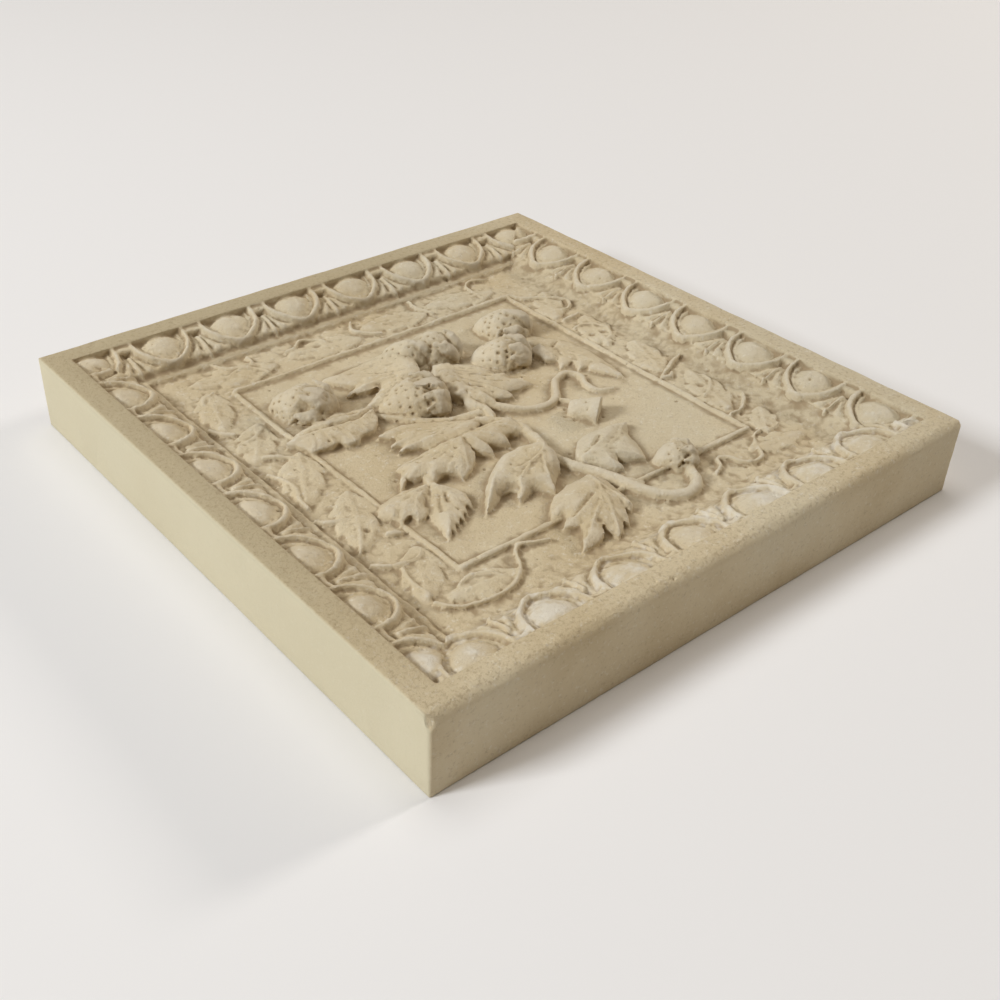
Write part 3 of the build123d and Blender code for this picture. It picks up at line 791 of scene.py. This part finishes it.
# Chips out of the edges: middle of the bite and its radius
chips = [
    (-102.6, -102.4, 25.6, 3.6), (-102.6, -102.2, 23.4, 2.9), (-102.2, -102.2, 19.4, 1.5),
    (-102.2, -102.2, 15.2, 1.3), (-102.1, -102.1, 10.4, 1.2), (-102.1, -102.1, 6.0, 1.1),
    (-38.0, -102.2, 24.2, 1.3), (6.5, -102.0, 24.4, 1.1), (9.8, -102.2, 23.9, 1.3), (12.4, -102.0, 23.0, 0.9),
    (44.0, -102.2, 24.0, 1.2), (-70.0, -102.4, 24.0, 1.4), (-102.2, -60.0, 25.3, 1.1),
    (-102.3, 24.0, 25.4, 1.2), (102.6, -102.6, 25.6, 3.0),
]


def biteChips(points):
    for x, y, z, radius in chips:
        offset = points - np.array([x, y, z])
        away = np.maximum(np.linalg.norm(offset, axis=1), 1e-6)
        near = away < radius
        points[near] += offset[near] * (radius / away[near] - 1)[:, None]


# Holes and pits: x, y, radius, depth
pits = [
    (-66.6, -88.4, 0.8, 1.6), (-41.5, -88.4, 0.9, 1.7), (-16.5, -88.4, 0.9, 1.7), (62.0, 17.0, 1.2, 1.0),
    (66.0, 16.0, 1.0, 1.0), (60.0, 10.5, 1.1, 1.0), (65.2, 10.3, 0.9, 0.8), (65.2, -30.0, 1.4, 1.2),
    (63.0, -26.5, 0.8, 0.8), (71.5, 4.2, 0.9, 0.9), (71.0, -42.5, 0.7, 0.8), (63.0, -49.0, 0.7, 0.8),
    (60.5, -43.0, 0.7, 0.6), (63.0, -60.0, 0.7, 0.8), (-19.0, 67.0, 1.2, 1.1), (20.5, -13.8, 0.5, 0.8),
    (17.6, -17.0, 0.5, 0.8), (18.4, -20.4, 0.5, 0.8), (21.4, -22.6, 0.5, 0.8), (22.8, -20.4, 0.4, 0.6),
    (-70.5, 28.0, 0.8, 0.8), (-66.5, -29.0, 0.9, 0.9), (-75.0, -62.5, 0.5, 0.8), (-66.0, -66.5, 0.6, 0.7),
]

# Drill holes of the moulding, and random air bubbles with their least and greatest radius
drill = {"out": 90.0, "last": 88.0, "radius": 0.95, "depth": 2.2, "reach": 2.5}
bubbles = {"count": 150, "radius": (0.25, 0.5), "depth": 1.6}
holeReach = 2.5  # how many radii a hole spreads
holeFloor = 10  # nothing below this height is pressed in


def pressHole(points, x, y, radius, depth, reach):
    away = np.hypot(points[:, 0] - x, points[:, 1] - y)
    near = (away < reach) & (points[:, 2] > holeFloor)
    points[near, 2] -= depth * np.exp(-(away[near] / radius) ** 2)


def pressPits(points):
    for x, y, radius, depth in pits:
        pressHole(points, x, y, radius, depth, radius * holeReach)


def pressDrillHoles(points):
    # one hole under each bridge of the egg and dart rows
    for first, pitch, turn in moulding["rows"]:
        for unit in range(-1, moulding["units"]):
            middle = first + pitch * (unit + 0.5)
            if abs(middle) > drill["last"]:
                continue
            place = Matrix.Rotation(radians(turn), 4, "Z") @ Vector((drill["out"], middle, 0))
            pressHole(points, place.x, place.y, drill["radius"], drill["depth"], drill["reach"])


# Seeds of the strawberries: small pits in staggered rings
seeds = {"spacing": 2.5, "radius": 0.42, "depth": 0.75}


def pressSeeds(points):
    rng = np.random.default_rng(5)
    for berry in berries:
        local = toBerry(points, berry)
        length, radius = berry[3], berry[4]
        near = (np.abs(local[:, 0]) < length * 0.62) & (np.hypot(local[:, 1], local[:, 2]) < radius * 1.25)
        spots = local[near]
        rings = int(length * 0.72 / seeds["spacing"])
        for ring in range(rings):
            x = -length * 0.22 + ring * seeds["spacing"]
            girth = radius * max(0.2, 1 - (2 * x / length) ** 2) ** 0.5
            count = max(4, int(2 * pi * girth / (seeds["spacing"] * 1.25)))
            for index in range(count):
                around = 2 * pi * (index + 0.5 * (ring % 2)) / count + rng.uniform(-0.12, 0.12)
                ray = np.array([0, cos(around), sin(around)])
                # distance from the line that leaves the axis at this ring
                offset = spots - np.array([x + rng.uniform(-0.4, 0.4), 0, 0])
                outward = offset @ ray
                away = np.linalg.norm(offset - outward[:, None] * ray, axis=1)
                size = seeds["radius"] * rng.uniform(0.7, 1.25)
                push = seeds["depth"] * rng.uniform(0.5, 1.2) * np.exp(-(away / size) ** 2) * (outward > girth * 0.5)
                spots = spots - push[:, None] * ray
        points[near] = fromBerry(spots, berry)


# Ragged calyx of the strawberries: lumps and deep holes behind the shoulder
ragged = {"lump": 2.2, "height": 0.6, "holes": 8, "holeRadius": 0.7, "holeDepth": 1.6}


def tearCalyx(points):
    rng = np.random.default_rng(29)
    for seed, berry in enumerate(berries):
        local = toBerry(points, berry)
        length, radius = berry[3], berry[4]
        girth = np.hypot(local[:, 1], local[:, 2])
        near = (local[:, 0] > -length * 0.75) & (local[:, 0] < length * 0.04)
        near &= (girth < radius * 1.5) & (points[:, 2] > 17)
        spots = local[near]
        ray = spots * [0, 1, 1] / np.maximum(girth[near], 1e-6)[:, None]
        fade = np.clip((length * 0.04 - spots[:, 0]) / 1.5, 0, 1)
        lumps = latticeNoise(spots, ragged["lump"], 70 + seed)
        lumps = lumps + 0.6 * latticeNoise(spots, ragged["lump"] / 2, 80 + seed)
        spots = spots + ray * (lumps * fade * ragged["height"] * berry[6])[:, None]
        for hole in range(ragged["holes"]):
            x = -length * rng.uniform(0.06, 0.5)
            around = radians(rng.uniform(-100, 100))
            middle = np.array([x, radius * 0.9 * sin(around), radius * 0.9 * cos(around)])
            away = np.linalg.norm(spots - middle, axis=1)
            size = ragged["holeRadius"] * rng.uniform(0.7, 1.4)
            spots = spots - ray * (ragged["holeDepth"] * berry[6] * np.exp(-(away / size / 1.4) ** 2))[:, None]
        points[near] = fromBerry(spots, berry)


def pressPinholes(points):
    rng = np.random.default_rng(17)
    for index in range(bubbles["count"]):
        x, y = rng.uniform(-100, 100, 2)
        radius = rng.uniform(*bubbles["radius"])
        pressHole(points, x, y, radius, radius * bubbles["depth"], radius * holeReach)


def insideTile(points):
    # nothing stands out of the tile's box
    return np.clip(points, [-halfSide, -halfSide, 0], [halfSide, halfSide, tileHeight])


points = readPoints(fusedMesh)
normals = readNormals(fusedMesh)
softenCove(points)
addLumps(points, normals)
wearEdges(points)
biteChips(points)
pressPits(points)
pressDrillHoles(points)
pressSeeds(points)
tearCalyx(points)
pressPinholes(points)
writePoints(fusedMesh, insideTile(points))
print("surface worn and pitted")

thin = tile.modifiers.new("thin", "DECIMATE")
thin.ratio = min(1.0, casting["triangles"] / (len(fusedMesh.polygons) * 2))
finalMesh = evaluated(tile, "cast_relief")
tile.modifiers.remove(thin)
tile.data = finalMesh
writePoints(finalMesh, insideTile(readPoints(finalMesh)))
print("thinned:", len(finalMesh.polygons), "faces")


def addMark(mesh, name, values):
    mark = mesh.attributes.new(name, "FLOAT", "POINT")
    mark.data.foreach_set("value", np.clip(values, -1, 1))


def markHollows(mesh):
    # how far each point lies under the smoothed surface, fine and broad, kept for the material, which paints shade
    # into the hollows and creases and a paler worn colour onto the ridges
    spots = readPoints(mesh)
    facing = readNormals(mesh)
    edges = np.empty(len(mesh.edges) * 2, int)
    mesh.edges.foreach_get("vertices", edges)
    edges = edges.reshape(-1, 2)
    count = np.bincount(edges.ravel(), minlength=len(spots))[:, None]
    inside = np.max(np.abs(spots[:, :2]), axis=1) < slab["steps"][0][0]
    smooth = spots.copy()
    for step in range(18):
        total = np.zeros_like(smooth)
        for axis in range(3):
            total[:, axis] = (np.bincount(edges[:, 0], smooth[edges[:, 1], axis], len(spots))
                              + np.bincount(edges[:, 1], smooth[edges[:, 0], axis], len(spots)))
        smooth = total / count
        if step == 3:
            addMark(mesh, "creaseShade", ((smooth - spots) * facing).sum(1) / 0.5 * inside)
    addMark(mesh, "hollow", ((smooth - spots) * facing).sum(1) / 1.2 * inside)


def markColours(mesh):
    # where the stone is painted paler or darker: chalky dust with painted highlight on the front row, browner over
    # each berry's calyx half, painted shade on the wall at the back cove's foot
    spots = readPoints(mesh)
    # front row: chalky dust mixed with painted highlight on the slopes that face the light
    litFrontRow = np.clip((-77.5 - spots[:, 1]) / 3, 0, 1) * np.clip((93.4 + spots[:, 1]) / 0.6, 0, 1)
    patches = np.clip(latticeNoise(spots, 6.0, 91) * 1.2 + latticeNoise(spots, 1.2, 92) * 1.2 + 0.1, 0, 1)
    addMark(mesh, "chalkyAndLit", litFrontRow * patches * (np.abs(spots[:, 0]) < 92.5))
    darkenAndShade = np.zeros(len(spots))
    # browner over each berry's calyx half
    for berry in berries:
        local = toBerry(spots, berry)
        girth = np.hypot(local[:, 1], local[:, 2])
        calyxHalf = np.clip((berry[3] * 0.06 - local[:, 0]) / 3, 0, 1)
        calyxHalf = calyxHalf * np.clip((local[:, 0] + berry[3] * 0.8) / 3, 0, 1)
        darkenAndShade = np.maximum(darkenAndShade, 0.75 * calyxHalf * np.clip((berry[4] * 1.35 - girth) / 2, 0, 1))
    # painted shade on the unlit wall at the foot of the back cove
    backWallShade = np.clip((spots[:, 1] - 76.4) / 0.6, 0, 1) * np.clip((80.6 - spots[:, 1]) / 0.6, 0, 1)
    darkenAndShade = np.maximum(darkenAndShade, backWallShade * (np.abs(spots[:, 0]) < spots[:, 1]))
    addMark(mesh, "darkenedAndShaded", darkenAndShade * (spots[:, 2] > 17.6))


markHollows(finalMesh)
markColours(finalMesh)
finalMesh.transform(Matrix.Scale(mm, 4))
for polygon in finalMesh.polygons:
    polygon.use_smooth = True
finalMesh.set_sharp_from_angle(angle=radians(50))
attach(tile, "root")
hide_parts("relief_tile")


# Cast stone: warm cream with paler worn ridges, painted shade in the hollows and creases, the lit left side painted
# paler, chalky dust with painted highlight on the front row, and a fine grain
stone = {
    # smooth is the paler colour painted on the lit left side as painted light
    "tan": (0.59, 0.48, 0.305), "cream": (0.70, 0.60, 0.42), "grey": (0.50, 0.46, 0.35), "smooth": (0.60, 0.55, 0.40),
    "rim": (0.49, 0.41, 0.265), "brownAndShade": (0.33, 0.24, 0.14), "chalkAndHighlight": (0.78, 0.74, 0.66), "darkenAndShade": (0.42, 0.34, 0.22),
    "roughness": 0.9, "shine": 0.25, "grainHeight": 0.0004, "lumpHeight": 0.0006,
}


def makeStone():
    material = bpy.data.materials.new("cast_stone_finish")
    material.use_nodes = True
    nodes, links = material.node_tree.nodes, material.node_tree.links
    shader = nodes["Principled BSDF"]
    shader.inputs["Roughness"].default_value = stone["roughness"]
    shader.inputs["Specular IOR Level"].default_value = stone["shine"]
    coords = nodes.new("ShaderNodeTexCoord")

    def noiseNode(scale, detail=4.0, roughness=0.55):
        node = nodes.new("ShaderNodeTexNoise")
        node.inputs["Scale"].default_value = scale
        node.inputs["Detail"].default_value = detail
        node.inputs["Roughness"].default_value = roughness
        links.new(coords.outputs["Object"], node.inputs["Vector"])
        return node.outputs["Fac"]

    def spread(value, low, high, start=0.0, end=1.0):
        node = nodes.new("ShaderNodeMapRange")
        node.inputs["From Min"].default_value = low
        node.inputs["From Max"].default_value = high
        node.inputs["To Min"].default_value = start
        node.inputs["To Max"].default_value = end
        links.new(value, node.inputs["Value"])
        return node.outputs["Result"]

    def blend(share, first, second):
        node = nodes.new("ShaderNodeMix")
        node.data_type = "RGBA"
        links.new(share, node.inputs["Factor"])
        for socket, value in ((node.inputs["A"], first), (node.inputs["B"], second)):
            if isinstance(value, tuple):
                socket.default_value = (*value, 1)
            else:
                links.new(value, socket)
        return node.outputs["Result"]

    def markNode(name):
        node = nodes.new("ShaderNodeAttribute")
        node.attribute_name = name
        return node.outputs["Fac"]

    def mathNode(operation, first, second=None):
        node = nodes.new("ShaderNodeMath")
        node.operation = operation
        links.new(first, node.inputs[0])
        if second is not None:
            links.new(second, node.inputs[1])
        return node.outputs["Value"]

    # the sides are smooth, the lit left one painted paler, the rim and the relief sandy
    place = nodes.new("ShaderNodeSeparateXYZ")
    links.new(coords.outputs["Object"], place.inputs["Vector"])
    out = mathNode("MAXIMUM", mathNode("ABSOLUTE", place.outputs["X"]), mathNode("ABSOLUTE", place.outputs["Y"]))
    edge, rimEdge = halfSide * mm, slab["steps"][0][0] * mm
    leftBack = mathNode("SUBTRACT", place.outputs["Y"], place.outputs["X"])
    sandy = spread(out, edge - 1.0 * mm, edge - 0.2 * mm, 1, 0)
    litLeftSide = spread(place.outputs["X"], -edge + 0.6 * mm, -edge + 0.1 * mm)
    high = spread(place.outputs["Z"], 23 * mm, 24 * mm)
    rim = mathNode("MULTIPLY", spread(out, rimEdge - 0.4 * mm, rimEdge + 0.2 * mm), high)

    base = blend(spread(noiseNode(28), 0.35, 0.65), stone["tan"], stone["cream"])
    layers = [
        (spread(noiseNode(14), 0.50, 0.70, 0, 0.35), "grey"),
        (spread(noiseNode(900, 4, 0.7), 0.56, 0.70, 0, 0.35), "brownAndShade"),
        (spread(noiseNode(700, 4, 0.7), 0.56, 0.70, 0, 0.50), "chalkAndHighlight"),
        (mathNode("MULTIPLY", rim, spread(leftBack, -0.02, 0.06, 0.0, 0.85)), "rim"),
        (mathNode("MULTIPLY", rim, spread(noiseNode(800, 3, 0.7), 0.52, 0.64, 0, 0.40)), "brownAndShade"),
        # painted light: the lit left side painted paler
        (spread(litLeftSide, 0, 1, 0, 0.8), "smooth"),
        # browner calyxes and painted shade at the back cove's foot
        (spread(markNode("darkenedAndShaded"), 0, 1, 0, 0.6), "darkenAndShade"),
        # painted shade in the hollows and creases
        (spread(markNode("hollow"), 0.08, 0.9, 0, 0.35), "brownAndShade"),
        (spread(markNode("creaseShade"), 0.08, 0.55, 0, 0.75), "brownAndShade"),
        (spread(markNode("hollow"), -0.1, -0.7, 0, 0.30), "chalkAndHighlight"),
        # chalky dust and painted highlight on the front row
        (spread(markNode("chalkyAndLit"), 0, 1, 0, 0.6), "chalkAndHighlight"),
    ]
    for share, color in layers:
        base = blend(share, base, stone[color])
    links.new(base, shader.inputs["Base Color"])

    lumps = nodes.new("ShaderNodeBump")
    lumps.inputs["Distance"].default_value = stone["lumpHeight"]
    links.new(spread(sandy, 0, 1, 0.12, 0.5), lumps.inputs["Strength"])
    links.new(noiseNode(450, 4, 0.6), lumps.inputs["Height"])
    grain = nodes.new("ShaderNodeBump")
    grain.inputs["Distance"].default_value = stone["grainHeight"]
    links.new(spread(sandy, 0, 1, 0.25, 0.9), grain.inputs["Strength"])
    links.new(noiseNode(1500, 4, 0.7), grain.inputs["Height"])
    links.new(lumps.outputs["Normal"], grain.inputs["Normal"])
    links.new(grain.outputs["Normal"], shader.inputs["Normal"])
    return material


finalMesh.materials.clear()
finalMesh.materials.append(makeStone())
print("cast stone finished")


# Pale table
table = {"size": 3.0, "color": (0.85, 0.845, 0.855)}


def makeTable():
    bm = bmesh.new()
    bmesh.ops.create_grid(bm, x_segments=1, y_segments=1, size=table["size"])
    mesh = bpy.data.meshes.new("table_top")
    bm.to_mesh(mesh)
    bm.free()
    floor = addObject("table_top", mesh)
    paper = bpy.data.materials.new("paper_white")
    paper.use_nodes = True
    shader = paper.node_tree.nodes["Principled BSDF"]
    shader.inputs["Base Color"].default_value = (*table["color"], 1)
    shader.inputs["Roughness"].default_value = 0.9
    mesh.materials.append(paper)


makeTable()

# Lamps: place in metres, size, power, color; all aim at the tile
lamps = {
    "leftWindow": ((-1.96, 0.50, 1.32), 0.55, 42.0, (0.95, 0.98, 1.0)),
    "rightWindow": ((2.00, -0.28, 0.95), 0.35, 17.0, (1.0, 0.94, 0.86)),
    "ceiling": ((0.1, 0.6, 2.4), 1.6, 19.0, (1.0, 0.97, 0.94)),
}
for name, (place, size, power, color) in lamps.items():
    light = bpy.data.lights.new(name, "AREA")
    light.shape = "SQUARE"
    light.size = size
    light.energy = power
    light.color = color
    lamp = addObject(name, light)
    lamp.location = place
    lamp.rotation_euler = (Vector((0, 0, 0.01)) - Vector(place)).to_track_quat("-Z", "Y").to_euler()

room = {"color": (1.0, 0.86, 0.66), "strength": 0.15}
world = bpy.data.worlds.new("soft_room")
bpy.context.scene.world = world
world.use_nodes = True
world.node_tree.nodes["Background"].inputs["Color"].default_value = (*room["color"], 1)
world.node_tree.nodes["Background"].inputs["Strength"].default_value = room["strength"]

view = {
    "place": (-0.2204, -0.2530, 0.2176), "turn": (55.385, -1.115, -39.075),
    "lens": 44.96, "sensor": 36.0, "shift": (0.03775, -0.00886),
}
cameraData = bpy.data.cameras.new("photo_view")
cameraData.lens = view["lens"]
cameraData.sensor_width = view["sensor"]
cameraData.shift_x, cameraData.shift_y = view["shift"]
camera = addObject("photo_view", cameraData)
camera.location = view["place"]
camera.rotation_euler = [radians(angle) for angle in view["turn"]]
bpy.context.scene.camera = camera
bpy.context.scene.view_settings.view_transform = "Standard"
print("table, lamps and camera placed")
